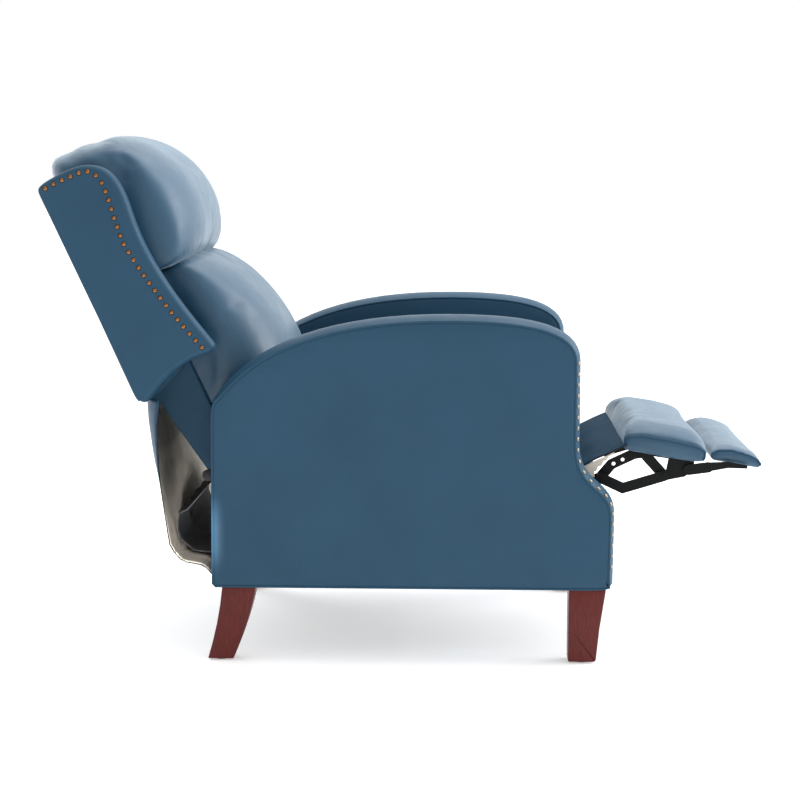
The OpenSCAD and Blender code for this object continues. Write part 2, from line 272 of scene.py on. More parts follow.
def dice(bm, step):
    """Cut the big flat faces of a mesh into a grid, so that they shade evenly and can be shaped."""
    wide = [f for f in bm.faces if len(f.verts) > CAP_CORNERS]
    for axis in (Vector((0, 1, 0)), Vector((0, 0, 1))):
        places = [v.co.dot(axis) for f in wide for v in f.verts]
        low, high = min(places), max(places)
        for i in range(1, int((high - low) / step)):
            geom = wide + list({e for f in wide for e in f.edges}) + list({v for f in wide for v in f.verts})
            at = axis * (low + i * step)
            cut = bmesh.ops.bisect_plane(bm, geom=geom, dist=2 * WELD, plane_co=at, plane_no=axis)
            wide = [g for g in cut["geom"] if isinstance(g, bmesh.types.BMFace)]
    return bm


def round_off(bm, edges, radius):
    """Round the edges of a mesh."""
    bmesh.ops.bevel(bm, geom=edges, offset=radius, segments=3, profile=0.5, affect="EDGES", material=-1)


def piece(name, bm, material, sharp=40):
    """Turn a bmesh into an object at the origin with smooth shading and outward faces."""
    bmesh.ops.recalc_face_normals(bm, faces=bm.faces)
    mesh = bpy.data.meshes.new(name)
    bm.to_mesh(mesh)
    bm.free()
    mesh.polygons.foreach_set("use_smooth", [True] * len(mesh.polygons))
    mesh.set_sharp_from_angle(angle=math.radians(sharp))
    obj = bpy.data.objects.new(name, mesh)
    bpy.context.scene.collection.objects.link(obj)
    mesh.materials.append(finish(material))
    return obj


def settle(obj):
    """Apply all modifiers of an object."""
    graph = bpy.context.evaluated_depsgraph_get()
    mesh = bpy.data.meshes.new_from_object(obj.evaluated_get(graph), depsgraph=graph)
    obj.modifiers.clear()
    obj.data = mesh
    mesh.name = obj.name
    return obj


def subdivide(obj):
    """Refine a piece once more when it is drawn."""
    modifier = obj.modifiers.new("refine", "SUBSURF")
    modifier.levels = modifier.render_levels = 1
    return obj


def mirrored(obj, name):
    """The same piece for the chair's other side."""
    bm = bmesh.new()
    bm.from_mesh(obj.data)
    bmesh.ops.scale(bm, vec=(-1, 1, 1), verts=bm.verts)
    return piece(name, bm, obj.data.materials[0].name)


def belongs(obj, body, slot, *nodes):
    """Hang a finished piece on the body it rides on, and hide the frame nodes it stands for. The slot is not used.
    """
    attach(obj, body)
    if nodes:
        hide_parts(*nodes)
    return obj


def piping(name, path, radius, closed=True):
    """A round cord of coated cloth along a line of points."""
    count = len(path)
    rings = []
    side = None
    for i, p in enumerate(path):
        ahead = path[(i + 1) % count] if closed or i + 1 < count else p
        behind = path[i - 1] if closed or i else p
        run = (ahead - behind).normalized()
        side = run.cross(Vector((1, 0, 0)) if abs(run.x) < 0.9 else Vector((0, 0, 1))).normalized()
        up = run.cross(side).normalized()
        rings.append([p + radius * (math.cos(a) * side + math.sin(a) * up) for a in ROUND])
    return piece(name, skin(rings, join=closed), "coated_cloth_panel")


def surface(obj):
    """Search tree of an object's mesh."""
    bm = bmesh.new()
    bm.from_mesh(obj.data)
    tree = BVHTree.FromBMesh(bm)
    bm.free()
    return tree


def sew(obj, path, width, depth):
    """Draw a seam into a padded piece along a line of points."""
    tree = kdtree.KDTree(len(path))
    for i, p in enumerate(path):
        tree.insert(p, i)
    tree.balance()
    normals = [v.normal.copy() for v in obj.data.vertices]
    for vert, normal in zip(obj.data.vertices, normals):
        distance = tree.find(vert.co)[2]
        if distance < width:
            vert.co -= normal * depth * (1 - distance / width) ** 2


def inflate(obj, voxel, cap, hold):
    """Fill a closed piece as stuffing does. hold says how freely a point may move, from 0 to 1."""
    remesh = obj.modifiers.new("remesh", "REMESH")
    remesh.mode = "VOXEL"
    remesh.voxel_size = voxel
    settle(obj)
    scene = bpy.context.scene
    before = [v.co.copy() for v in obj.data.vertices]
    cloth = obj.modifiers.new("stuffing", "CLOTH")
    cloth.point_cache.frame_start = 1
    cloth.point_cache.frame_end = SIM_FRAMES
    settings = cloth.settings
    settings.quality = 4
    settings.mass = 0.3
    settings.tension_stiffness = settings.compression_stiffness = 12
    settings.shear_stiffness = 6
    settings.bending_stiffness = 0.6
    settings.use_pressure = True
    settings.uniform_pressure_force = PRESSURE
    settings.effector_weights.gravity = 0
    for number in range(1, SIM_FRAMES + 1):
        scene.frame_set(number)
    settle(obj)
    for vert, start in zip(obj.data.vertices, before):
        move = vert.co - start
        limit = cap * hold(start)
        if move.length > limit:
            move.length = limit
        vert.co = start + move
    scene.frame_set(1)
    bm = bmesh.new()
    bm.from_mesh(obj.data)
    for _ in range(5):
        bmesh.ops.smooth_vert(
            bm, verts=bm.verts, factor=0.5, use_axis_x=True, use_axis_y=True, use_axis_z=True
        )
    bm.to_mesh(obj.data)
    bm.free()
    obj.data.polygons.foreach_set("use_smooth", [True] * len(obj.data.polygons))
    return obj


def crumple(obj, centre, reach, run, pitch, depth):
    """Gather the skin near a point into small folds that run along a direction."""
    centre, run = Vector(centre), Vector(run).normalized()
    normals = [v.normal.copy() for v in obj.data.vertices]
    for vert, normal in zip(obj.data.vertices, normals):
        off = vert.co - centre
        share = 1 - off.length / reach
        if share > 0:
            along = off.dot(run)
            across = (off - along * run) / pitch
            wave = noise.noise(across + run * along / (5 * pitch))
            vert.co += normal * depth * wave * ease(share, 0, 0.7)


# ---- Finishes ----


def add(material, kind, sockets=None, **settings):
    """Add a shader node, set what it is given, and link the sockets that come from other nodes."""
    tree = material.node_tree
    node = tree.nodes.new("ShaderNode" + kind)
    for key, value in settings.items():
        setattr(node, key, value)
    for name, value in (sockets or {}).items():
        if isinstance(value, bpy.types.NodeSocket):
            tree.links.new(value, node.inputs[name])
        else:
            node.inputs[name].default_value = value
    return node


def start(name):
    """A new material with its coordinates and its surface shader."""
    material = bpy.data.materials.new(name)
    material.use_nodes = True
    shader = material.node_tree.nodes["Principled BSDF"]
    coords = add(material, "TexCoord").outputs["Object"]
    return material, shader, coords


def tone(rgb, factor):
    """A colour made lighter or darker."""
    return [min(1, c * factor) for c in rgb] + [1]


def link(material, source, target):
    """Join an output of a node to an input of another."""
    material.node_tree.links.new(source, target)


def mix(material, share, dark, light, blend="MIX"):
    """Blend of two colours by the share that a texture gives."""
    return add(material, "Mix", {0: share, 6: dark, 7: light}, data_type="RGBA", blend_type=blend).outputs[2]


def gloss(material, shader, texture, low, high):
    """Let a texture vary the roughness from low to high."""
    spread = add(material, "MapRange", {0: texture, 1: 0.3, 2: 0.7, 3: low, 4: high})
    link(material, spread.outputs[0], shader.inputs["Roughness"])


def relief(material, shader, height, strength, depth):
    """Let a texture raise the surface by a depth in millimetres, on top of any relief it already has."""
    bump = add(material, "Bump", {"Height": height, "Strength": strength, "Distance": depth * MM})
    normal = shader.inputs["Normal"]
    if normal.is_linked:
        link(material, normal.links[0].from_socket, bump.inputs["Normal"])
    link(material, bump.outputs[0], normal)


def dress(shader, **values):
    """Set inputs of the surface shader."""
    for name, value in values.items():
        shader.inputs[name.replace("_", " ")].default_value = value


def leather(name, rgb, crease, sheen, rough, specular):
    """Polyurethane coated cloth, embossed with a fine hide grain: satin, with a pale bloom at grazing angles."""
    material, shader, coords = start(name)
    cells = add(material, "TexVoronoi", {"Vector": coords, "Scale": 1 / (1.9 * MM)}, feature="SMOOTH_F1")
    folds = add(material, "TexNoise", {"Vector": coords, "Scale": 1 / (34 * MM), "Detail": 5.0, "Distortion": 0.6})
    cloud = add(material, "TexNoise", {"Vector": coords, "Scale": 1 / (150 * MM), "Detail": 3.0})
    shade = mix(material, cloud.outputs[0], tone(rgb, 0.86), tone(rgb, 1.15))
    pores = add(material, "MapRange", {0: cells.outputs[0], 1: 0.0, 2: 0.7, 3: 0.94, 4: 1.04})
    mixed = mix(material, 1.0, shade, pores.outputs[0], "MULTIPLY")
    link(material, mixed, shader.inputs["Base Color"])
    gloss(material, shader, folds.outputs[0], rough - 0.05, rough + 0.06)
    relief(material, shader, folds.outputs[0], 1.0, crease)
    relief(material, shader, cells.outputs[0], 1.0, 0.08)
    dress(shader, Sheen_Weight=sheen, Sheen_Roughness=0.3, Sheen_Tint=tone(linear("#CFE2EE"), 1))
    dress(shader, Specular_IOR_Level=specular, IOR=1.5)


def cloth(name, rgb, pitch, depth, rough):
    """Plain woven or spunbonded cloth: matt, with the pitch of its threads in relief."""
    material, shader, coords = start(name)
    wave = {"Vector": coords, "Scale": 1 / (6.28 * pitch * MM), "Distortion": 1.0, "Detail Scale": 2.0}
    warp, weft = (add(material, "TexWave", wave, bands_direction=axis).outputs[1] for axis in "XZ")
    weave = add(material, "Math", {0: warp, 1: weft}, operation="ADD")
    blotch = add(material, "TexNoise", {"Vector": coords, "Scale": 1 / (55 * MM), "Detail": 6.0})
    shade = mix(material, blotch.outputs[0], tone(rgb, 0.7), tone(rgb, 1.25))
    link(material, shade, shader.inputs["Base Color"])
    relief(material, shader, weave.outputs[0], 1.0, depth)
    dress(shader, Roughness=rough)


def wood(name, rgb, grain, stretch, rough, coat):
    """Planed timber with its grain along one axis, under a coat of lacquer."""
    material, shader, coords = start(name)
    along = add(material, "Mapping", {"Vector": coords, "Scale": stretch}).outputs[0]
    pitch = 1 / (grain * MM)
    rings = add(material, "TexNoise", {"Vector": along, "Scale": pitch, "Detail": 6.0, "Distortion": 1.2})
    pores = add(material, "TexNoise", {"Vector": along, "Scale": 3 / (grain * MM), "Detail": 2.0})
    spread = add(material, "MapRange", {0: rings.outputs[0], 1: 0.32, 2: 0.68})
    shade = mix(material, spread.outputs[0], tone(rgb, 0.72), tone(rgb, 1.2))
    link(material, shade, shader.inputs["Base Color"])
    gloss(material, shader, pores.outputs[0], rough - 0.06, rough + 0.08)
    relief(material, shader, pores.outputs[0], 0.5, 0.12)
    dress(shader, Specular_IOR_Level=0.2, Coat_Weight=coat, Coat_Roughness=0.25)


def metal(name, rgb, spot, dark, rough, metallic=1.0):
    """Metal with a plated, aged or painted surface, mottled at the size of its spots."""
    material, shader, coords = start(name)
    mottle = add(material, "TexNoise", {"Vector": coords, "Scale": 1 / (spot * MM), "Detail": 4.0})
    spread = add(material, "MapRange", {0: mottle.outputs[0], 1: 0.35, 2: 0.65})
    shade = mix(material, spread.outputs[0], tone(rgb, dark), tone(rgb, 1.1))
    link(material, shade, shader.inputs["Base Color"])
    gloss(material, shader, mottle.outputs[0], rough + 0.08, rough - 0.05)
    relief(material, shader, mottle.outputs[0], 0.4, 0.08)
    dress(shader, Metallic=metallic, Specular_IOR_Level=0.15 + 0.35 * metallic)


def finish(name):
    """The material of that name."""
    return bpy.data.materials[name]


class RECLINER_OT_finishes(bpy.types.Operator):
    """Make the finishes and give the frame's own parts theirs"""

    bl_idname = "recliner.finishes"
    bl_label = "Finishes"

    def execute(self, context):
        tint = context.scene.recliner_colours
        leather("coated_cloth_panel", tint.leather, 0.3, 0.0, 0.5, 0.2)
        # Cushions: the same cloth with its colour made 1.15 times lighter, which is painted light for their lit
        # tops and fronts; their stronger sheen and gloss come from the shader.
        leather("coated_cloth_cushion_painted_light", [1.15 * c for c in tint.leather], 0.35, 0.5, 0.42, 0.5)
        # Leg panel: the same cloth with its colour at 0.68 of its tone, which is painted shade for a panel that
        # faces away from the light.
        leather("coated_cloth_leg_panel_painted_shade", [0.68 * c for c in tint.leather], 0.2, 0.0, 0.7, 0.05)
        cloth("cotton_lining", tint.lining, 1.6, 0.25, 0.9)
        cloth("black_nonwoven", linear("#16171A"), 1.4, 0.2, 0.85)
        wood("lacquered_mahogany", tint.mahogany, 9, (3, 3, 0.4), 0.4, 0.12)
        wood("planed_poplar", tint.poplar, 12, (0.5, 2, 2), 0.6, 0.0)
        metal("antique_brass", tint.brass, 2.2, 0.5, 0.38)
        # Dark brass of the collar round each nail head: painted shadow where the nail presses into the cloth.
        metal("brass_painted_shadow", linear("#3A2C22"), 2.2, 0.6, 0.6)
        # Pale brass of the arm nails: a painted glint, in place of the light that the nail heads catch.
        metal("brass_painted_glint", linear("#A39A88"), 2.2, 0.7, 0.45)
        metal("zinc_plated_steel", linear("#B9BCC0"), 3, 0.8, 0.34)
        metal("spring_wire", linear("#7C7F84"), 3, 0.7, 0.4)
        metal("stove_enamelled_steel", tint.enamel, 2.5, 0.8, 0.5, 0.0)
        metal("moulded_nylon", linear("#2A2A2B"), 2, 0.9, 0.5, 0.0)
        wanted = {
            "planed_poplar": ("frame", "front_rail", "rear_rail", "corner_blocks", "board"),
            "zinc_plated_steel": ("bolts",),
            "spring_wire": ("springs",),
            "moulded_nylon": ("glides",),
            "stove_enamelled_steel": ("bracket", "link", "plate_left", "plate_right", "torque_tube", "pins"),
        }
        for name, node in NODES.items():
            for material, words in wanted.items():
                if any(word in name for word in words):
                    node.data.materials.clear()
                    node.data.materials.append(finish(material))
        return {"FINISHED"}


# ---- Arms ----


class RECLINER_OT_arms(bpy.types.Operator):
    """Build the upholstered arms with their crowned bands and piping"""

    bl_idname = "recliner.arms"
    bl_label = "Arms"

    def execute(self, context):
        sizes = context.scene.recliner_sizes
        line = even(outline("arm_cover_left", (ARM_LOW.x + ARM_HIGH.x) / 2), 9 * MM)
        least = 2 * MM
        crown = [least + (sizes.arm_crown - least) * ease(max(n.x, n.y), 0.05, 0.5) for n in outward(line)]
        middle, half = (ARM_LOW.x + ARM_HIGH.x) / 2, (ARM_HIGH.x - ARM_LOW.x) / 2 - 2.5 * MM
        rings = []
        for t in (-1, -0.94, -0.84, -0.7, -0.5, -0.25, 0, 0.25, 0.5, 0.7, 0.84, 0.94, 1):
            ring = inset(line, [c * abs(t) ** 2.6 for c in crown])
            rings.append([place(middle + half * t, p) for p in ring])
        seam = inset(line, crown)
        panel = [
            [place(half + rise * MM, p) for p in inset(seam, amount * MM)]
            for amount, rise in ((2, 1.0), (4.5, 1.9), (6, 2.2))
        ]
        outer = [[p + Vector((middle, 0, 0)) for p in ring] for ring in panel]
        inner = [[Vector((middle - p.x, p.y, p.z)) for p in ring] for ring in panel]
        body = dice(skin(inner[::-1] + rings + outer), 30 * MM)
        left = piece("arm_left_upholstery", body, "coated_cloth_panel", 50)
        right = mirrored(left, "arm_right_upholstery")
        belongs(left, "base", "blue_cover", "arm_cover_left")
        belongs(right, "base", "blue_cover", "arm_cover_right")
        radius = sizes.piping / 2
        for edge, x in (("outer", middle + half), ("inner", middle - half)):
            path = [place(x, p) for p in inset(line, [c - 0.6 * MM for c in crown])]
            cord = piping(f"arm_left_{edge}_piping", path, radius)
            belongs(mirrored(cord, f"arm_right_{edge}_piping"), "base", "blue_cover")
            belongs(cord, "base", "blue_cover")
        return {"FINISHED"}


# ---- Wings and back ----


class RECLINER_OT_wings(bpy.types.Operator):
    """Build the wings with their rolled edges"""

    bl_idname = "recliner.wings"
    bl_label = "Wings"

    def execute(self, context):
        sizes = context.scene.recliner_sizes
        line = relax(even(outline("wing_left", WING_HIGH.x - 10 * MM), 6 * MM), 4)
        forward = Vector((0.9, 0.43))
        least = 2 * MM
        roll = [least + (sizes.wing_roll - least) * ease(n.dot(forward), -0.75, -0.2) for n in outward(line)]
        outer, inner = WING_HIGH.x, WING_HIGH.x - 45 * MM
        rings = []
        for share in (1.1, 1.0, 0.9, 0.62, 0.3, 0.1, 0.0):
            depth = (1 - math.sqrt(max(0, 1 - (1 - min(share, 1)) ** 2))) * 13 * MM
            rings.append([place(outer - depth, p) for p in inset(line, [r * share for r in roll])])
        for x, share in ((-22, 0.0), (-32, 0.05), (-39, 0.25), (-43, 0.6), (-44.6, 0.9), (-45, 1.1)):
            rings.append([place(outer + x * MM, p) for p in inset(line, [r * share for r in roll])])
        left = piece("wing_left_upholstery", dice(skin(rings), 24 * MM), "coated_cloth_panel", 60)
        right = mirrored(left, "wing_right_upholstery")
        belongs(left, "back", "blue_cover", "wing_left")
        belongs(right, "back", "blue_cover", "wing_right")
        filler = relax(even(outline("wing_left", inner - 10 * MM), 7 * MM), 3)
        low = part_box("back_cover")[1].x
        rings = []
        for x, amount in ((0, 6), (2, 3), (6, 1), (20, 0), (37, 0)):
            rings.append([place(low + x * MM, p) for p in inset(filler, amount * MM)])
        left = piece("wing_left_inner_pad", dice(skin(rings), 30 * MM), "coated_cloth_panel", 60)
        belongs(mirrored(left, "wing_right_inner_pad"), "back", "blue_cover")
        belongs(left, "back", "blue_cover")
        return {"FINISHED"}


class RECLINER_OT_rails(bpy.types.Operator):
    """Wrap the seat front and the front rail in padded cloth"""

    bl_idname = "recliner.rails"
    bl_label = "Rails"

    def execute(self, context):
        for name, node, body, proud, depth in (
            ("seat_front_band", "seat_frame", "seat", 3.5, 40),
            ("front_rail_wrap", "front_rail", "base", 2.5, 200),
        ):
            low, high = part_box(node)
            padding = Vector((2, proud, proud)) * MM
            low, high = low - padding, high + padding
            high.y = min(high.y, low.y + depth * MM)
            bm = bmesh.new()
            bmesh.ops.create_cube(bm, size=1)
            bmesh.ops.scale(bm, vec=high - low, verts=bm.verts)
            bmesh.ops.translate(bm, vec=(low + high) / 2, verts=bm.verts)
            round_off(bm, bm.edges[:], 4 * MM)
            belongs(piece(name, bm, "coated_cloth_panel"), body, "blue_cover")
        return {"FINISHED"}


class RECLINER_OT_back(bpy.types.Operator):
    """Build the upholstered body of the back and its outside panel"""

    bl_idname = "recliner.back"
    bl_label = "Back"

    def execute(self, context):
        sizes = context.scene.recliner_sizes
        line = relax(even(outline("back_cover", 0), 6 * MM), 1)
        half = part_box("back_cover")[1].x
        rings = []
        for x, amount in ((0, 4), (0.3, 2.4), (1.2, 1.1), (3, 0.3), (6, 0)):
            rings.append([place(-half + x * MM, p) for p in inset(line, amount * MM)])
        shell = piece("back_upholstery", dice(skin(both_halves(rings)), 30 * MM), "coated_cloth_panel", 60)
        belongs(shell, "back", "blue_cover", "back_cover")
        top, foot = mm((-315, 881), (-137, 487))
        rise = (top - foot).normalized()
        out = Vector((-rise.y, rise.x))
        steps, columns, width = 24, 16, WING_HIGH.x - 3 * MM
        rings = []
        for i in range(steps + 1):
            at = foot.lerp(top, i / steps)
            ring = []
            for j in range(2 * columns + 1):
                x = width * (j / columns - 1)
                edge = min(i, steps - i) / steps * 4, (1 - abs(j / columns - 1)) * 4
                swell = 1 + 6 * ease(edge[0], 0, 1) * ease(edge[1], 0, 1)
                ring.append(place(x, at + out * swell * MM))
            rings.append(ring)
        bm = skin(rings, closed=False)
        bmesh.ops.solidify(bm, geom=bm.faces, thickness=3 * MM)
        belongs(piece("back_outside_panel", bm, "coated_cloth_panel", 60), "back", "blue_cover")
        edge = width - 2 * MM
        corners = [place(x, p + out * MM) for x, p in ((-edge, foot), (edge, foot), (edge, top), (-edge, top))]
        cord = piping("back_outside_piping", relax(even(corners, 10 * MM), 4), sizes.piping / 2)
        belongs(cord, "back", "blue_cover")
        return {"FINISHED"}


# ---- Cushions ----


def bolster(name, line, half, reach, narrowing, taper, root, lean):
    """A closed cushion body across the chair. Over the reach of its ends its section shrinks towards a root."""
    rise = Vector((-lean.y, lean.x))
    rings = []
    for i in range(END_STEPS, -1, -1):
        turn = math.pi / 2 * i / END_STEPS
        loss = narrowing * (1 - math.cos(turn))
        ring = []
        for p in line:
            off = p - root
            ring.append(root + lean * off.dot(lean) * (1 - loss) + rise * off.dot(rise) * (1 - taper * loss))
        x = half - reach * (1 - math.sin(turn))
        rings.append([place(-x, p) for p in ring])
    return piece(name, skin(both_halves(rings)), "coated_cloth_cushion_painted_light")


class RECLINER_OT_cushions(bpy.types.Operator):
    """Stuff the head cushion, the lumbar cushion and the seat"""

    bl_idname = "recliner.cushions"
    bl_label = "Cushions"

    def execute(self, context):
        sizes = context.scene.recliner_sizes
        swell = sizes.cushion_swell
        back = Vector(BACK_NORMAL)
        top, crease = mm((-226, 920), (-132, 723))
        along = (top - crease).normalized()
        gap = 8 * MM

        def free_of_back(point):
            off = Vector((REAR - point.y, point.z)) - crease
            return 0.12 + 0.88 * ease(off.dot(back), 4 * MM, 34 * MM)

        def bite(normal):
            return -8 * MM * ease(-normal.dot(back), 0.2, 0.7)

        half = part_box("headrest_pillow")[1].x
        line = relax(even(outline("headrest_pillow", 0), 8 * MM), 4)
        room = [bite(n) + 13 * MM * max(ease(n.dot(back), -0.2, 0.4), ease(n.y, 0.2, 0.8)) for n in outward(line)]
        line = inset(line, room)
        line = [p - along * gap * ease((crease - p).dot(along), -60 * MM, -10 * MM) for p in line]
        head = bolster("headrest_cushion", line, half - 3 * MM, 170 * MM, 0.5, 0.3, crease, back)
        inflate(head, 6 * MM, swell, free_of_back)
        crumple(head, place(-200 * MM, mm((-235, 960))[0]), 90 * MM, (1, 0.4, 0), 12 * MM, 1.5 * MM)
        belongs(subdivide(head), "back", "blue_cushion", "headrest_pillow")

        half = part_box("lumbar_pillow")[1].x
        line = relax(even(outline("lumbar_pillow", 0), 8 * MM), 4)
        line = inset(line, [bite(n) + 17 * MM * ease(n.dot(back), -0.2, 0.4) for n in outward(line)])
        line = [p + along * gap * ease((p - crease).dot(along), -60 * MM, -10 * MM) for p in line]
        lumbar = bolster("lumbar_cushion", line, half - 2 * MM, 150 * MM, 0.38, 0.0, crease, back)
        inflate(lumbar, 6 * MM, swell, free_of_back)
        crumple(lumbar, place(-250 * MM, mm((17, 513))[0]), 80 * MM, (0.1, -0.4, 1), 14 * MM, 1.4 * MM)
        belongs(subdivide(lumbar), "back", "blue_cushion", "lumbar_pillow")

        low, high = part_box("seat_cushion")
        line = relax(even(outline("seat_cushion", 0), 9 * MM), 3)
        line = inset(line, [7 * MM * ease(n.y, -0.2, 0.5) for n in outward(line)])
        root = Vector(((line[0].x + line[len(line) // 2].x) / 2, low.z))
        seat = bolster("seat_cushion_cover", line, high.x - 3 * MM, 40 * MM, 0.25, 0.3, root, Vector((0, 1)))

        def free_of_deck(point):
            return 0.1 + 0.9 * ease(point.z, low.z + 10 * MM, low.z + 60 * MM)

        inflate(seat, 7 * MM, 16 * MM, free_of_deck)
        belongs(subdivide(seat), "seat", "blue_cushion", "seat_cushion")
        return {"FINISHED"}


class RECLINER_OT_footrest(bpy.types.Operator):
    """Stuff the two pads of the footrest and pipe their edges"""

    bl_idname = "recliner.footrest"
    bl_label = "Footrest"

    def pad(self, name, board, body, slope, arch, lower, sink, ahead, narrower, swell):
        """Stuff one pad of a slope in degrees.

        arch is the height of its sides as a share of the height in the middle. The pad is moved lower and
        ahead of its frame node, sinks round the board, and is narrower than the node at each side.
        """
        low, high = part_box(name)
        slope = math.radians(slope)
        up = Vector((-math.sin(slope), math.cos(slope)))
        run = Vector((up.y, -up.x))
        foot = min(p.dot(up) for p in outline(board, 0)) - lower - sink
        middle = (REAR - (low.y + high.y) / 2) * run.x
        wrap = sink + 12 * MM
        half = high.x - narrower
        line = []
        bare = even(outline(name, 0), 5 * MM)
        for p, normal in zip(bare, outward(bare)):
            p = p - up * lower
            height = p.dot(up) - foot
            p = p - up * height * (1 - ease(height, wrap, wrap + 6 * MM)) * ease(-normal.dot(up), 0.1, 0.6)
            line.append(p + run * ((p.dot(run) - middle) * LONGER + ahead))
        line = relax(line, 3)
        margin = 4
        body_line = inset(line, [margin * MM * ease(n.dot(up), -0.3, 0.3) for n in outward(line)])

        def lifted(points, share):
            return [p - up * (p.dot(up) - foot) * (1 - arch) * (1 - share) for p in points]

        ends = []
        for x, share in ((0, 0), (2, 0.12), (7, 0.35), (16, 0.62), (30, 0.85), (50, 0.97), (80, 1.0)):
            ends.append([place(half - (margin + x) * MM, p) for p in lifted(body_line, share)])
        pad = piece(f"{name}_cover", skin(both_halves(ends)), "coated_cloth_cushion_painted_light")

        def free_of_board(point):
            return 0.1 + 0.9 * ease(Vector((REAR - point.y, point.z)).dot(up) - foot, 8 * MM, 22 * MM)

        inflate(pad, 4.5 * MM, swell, free_of_board)
        shape = surface(pad)
        seam = [p for p in lifted(line, 0) if p.dot(up) - foot > 3 * MM]
        gap = max(range(len(seam)), key=lambda i: (seam[i] - seam[i - 1]).length)
        seam = seam[gap:] + seam[:gap]
        paths = [[shape.find_nearest(place(x, p))[0] for p in seam] for x in (half - 2 * MM, 2 * MM - half)]
        sew(pad, paths[0] + paths[1], 6 * MM, 1.6 * MM)
        for side, path in zip(("left", "right"), paths):
            cord = piping(f"{name}_{side}_piping", path, 1.9 * MM, closed=False)
            belongs(cord, body, "blue_cover")
        belongs(subdivide(pad), body, "blue_cushion", name, board)

    def execute(self, context):
        swell = context.scene.recliner_sizes.pad_swell
        self.pad("ottoman_pad", "ottoman_board", "ottoman", -10, 0.66, 0, 9 * MM, 8 * MM, 0, swell)
        self.pad("flap_pad", "flap_board", "flap", -9.5, 0.88, 8 * MM, 0, 7 * MM, 14 * MM, swell / 2)
        return {"FINISHED"}


# ---- Loose fabric ----


def drape(name, path, half, bulge, outside, material, inner, thickness):
    """A bound sheet that follows a side view path across the chair.

    bulge(share of the half width, share of the path) moves it forward. Its outer side faces a direction.
    """
    path = even(path, 8 * MM, closed=False)
    total = len(path) - 1
    rings = []
    for i, p in enumerate(path):
        ahead, behind = path[min(i + 1, total)], path[max(i - 1, 0)]
        run = (ahead - behind).normalized()
        out = Vector((-run.y, run.x))
        ring = []
        for j in range(COLUMNS + 1):
            share = 2 * j / COLUMNS - 1
            ring.append(place(half * share, p + out * bulge(share, i / total)))
        rings.append(ring)
    obj = piece(name, skin(rings, closed=False), material)
    if sum((f.normal * f.area for f in obj.data.polygons), Vector()).dot(outside) < 0:
        obj.data.flip_normals()
    obj.data.materials.append(finish(inner))
    obj.data.materials.append(finish("black_nonwoven"))
    thicken = obj.modifiers.new("thickness", "SOLIDIFY")
    thicken.thickness = thickness * MM
    thicken.offset = 0
    thicken.material_offset = 1
    thicken.material_offset_rim = 2
    settle(obj)
    return obj


class RECLINER_OT_loose_fabric(bpy.types.Operator):
    """Hang the rear panel, its liner, the leg panel and the dust cover"""

    bl_idname = "recliner.loose_fabric"
    bl_label = "Loose fabric"

    def execute(self, context):
        sizes = context.scene.recliner_sizes
        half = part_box("rear_flap")[1].x
        path = mm(
            (-141, 485), (-139, 462), (-137, 440), (-130, 401), (-122, 363), (-114, 334), (-103, 294),
            (-92, 252), (-83, 216), (-73, 200), (-62, 188.5), (-51, 183.5), (-38, 181.2), (-24.5, 178.7),
            (-14, 173), (-4, 162), (4, 154),
        )

        def curl(across, along):
            ripple = 2.5 * MM * noise.noise(Vector((across * 3, along * 5, 2))) * math.sin(math.pi * along)
            return sizes.flap_curl * max(0, 1 - along / 0.75) ** 1.35 * across**6 + ripple

        rearward = Vector((0, 1, 0))
        flap = drape("rear_flap_panel", path, half, curl, rearward, "coated_cloth_panel", "cotton_lining", 2.4)
        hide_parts("rear_flap")
        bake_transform(flap)

        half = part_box("inner_liner")[1].x
        path = mm(
            (-8, 330), (-37, 295), (-59, 268.5), (-75, 261), (-77.5, 246), (-77.5, 229), (-72, 211.5),
            (-60, 200), (-47.5, 190), (-14, 187.5), (6, 187),
        )

        def ruffle(across, along):
            return 3 * MM * noise.noise(Vector((across * 4, along * 3, 7)))

        liner = drape("inner_liner_sheet", path, half, ruffle, rearward, "black_nonwoven", "black_nonwoven", 1.6)
        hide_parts("inner_liner")
        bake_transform(liner)

        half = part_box("leg_panel")[1].x
        path = mm((668, 349), (693, 360), (718, 374), (744, 386), (768, 397), (776, 401))

        def sag(across, along):
            return 2 * MM * noise.noise(Vector((across * 2, along * 2, 1)))

        upward = Vector((0, 0, 1))
        # The leg panel takes the darkened cloth: painted shade.
        panel = drape("leg_panel_sheet", path, half, sag, upward, "coated_cloth_leg_panel_painted_shade", "cotton_lining", 2.4)
        belongs(panel, "base", "flap_fabric", "leg_panel")
        ragged = mm(
            (690, 357), (705, 364), (718, 371), (735, 378), (752, 387), (747, 381), (741, 378), (737, 371),
            (731, 369), (728, 361), (721, 358), (718, 350), (714, 349), (715, 338), (710, 340), (706, 333),
            (701, 339), (698, 347),
        )
        selvedges = []
        for side, sign in zip(SIDES, (-1, 1)):
            edge = [place(sign * (half - 2 * MM), p) for p in ragged]
            bm = skin([edge, [p + Vector((sign * 1.5 * MM, 0, 0)) for p in edge]])
            selvedge = piece(f"leg_panel_selvedge_{side}", bm, "cotton_lining")
            selvedges.append(belongs(selvedge, "base", "flap_fabric"))
        for cloth_piece in (panel, *selvedges):
            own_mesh(cloth_piece)

        low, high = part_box("dust_cover")
        rings = []
        rows, columns = 24, 28
        for i in range(rows + 1):
            y = low.y + (high.y - low.y) * i / rows
            ring = []
            for j in range(columns + 1):
                x = low.x + (high.x - low.x) * j / columns
                sag = math.sin(math.pi * i / rows) * math.sin(math.pi * j / columns)
                ring.append(Vector((x, y, (low.z + high.z) / 2 + 1.2 * MM - 4 * MM * sag)))
            rings.append(ring)
        bm = skin(rings, closed=False)
        bmesh.ops.solidify(bm, geom=bm.faces, thickness=1.2 * MM)
        cover = piece("dust_cover_sheet", bm, "black_nonwoven")
        belongs(cover, "base", "black_lining", "dust_cover")
        return {"FINISHED"}


# ---- Nails and legs ----


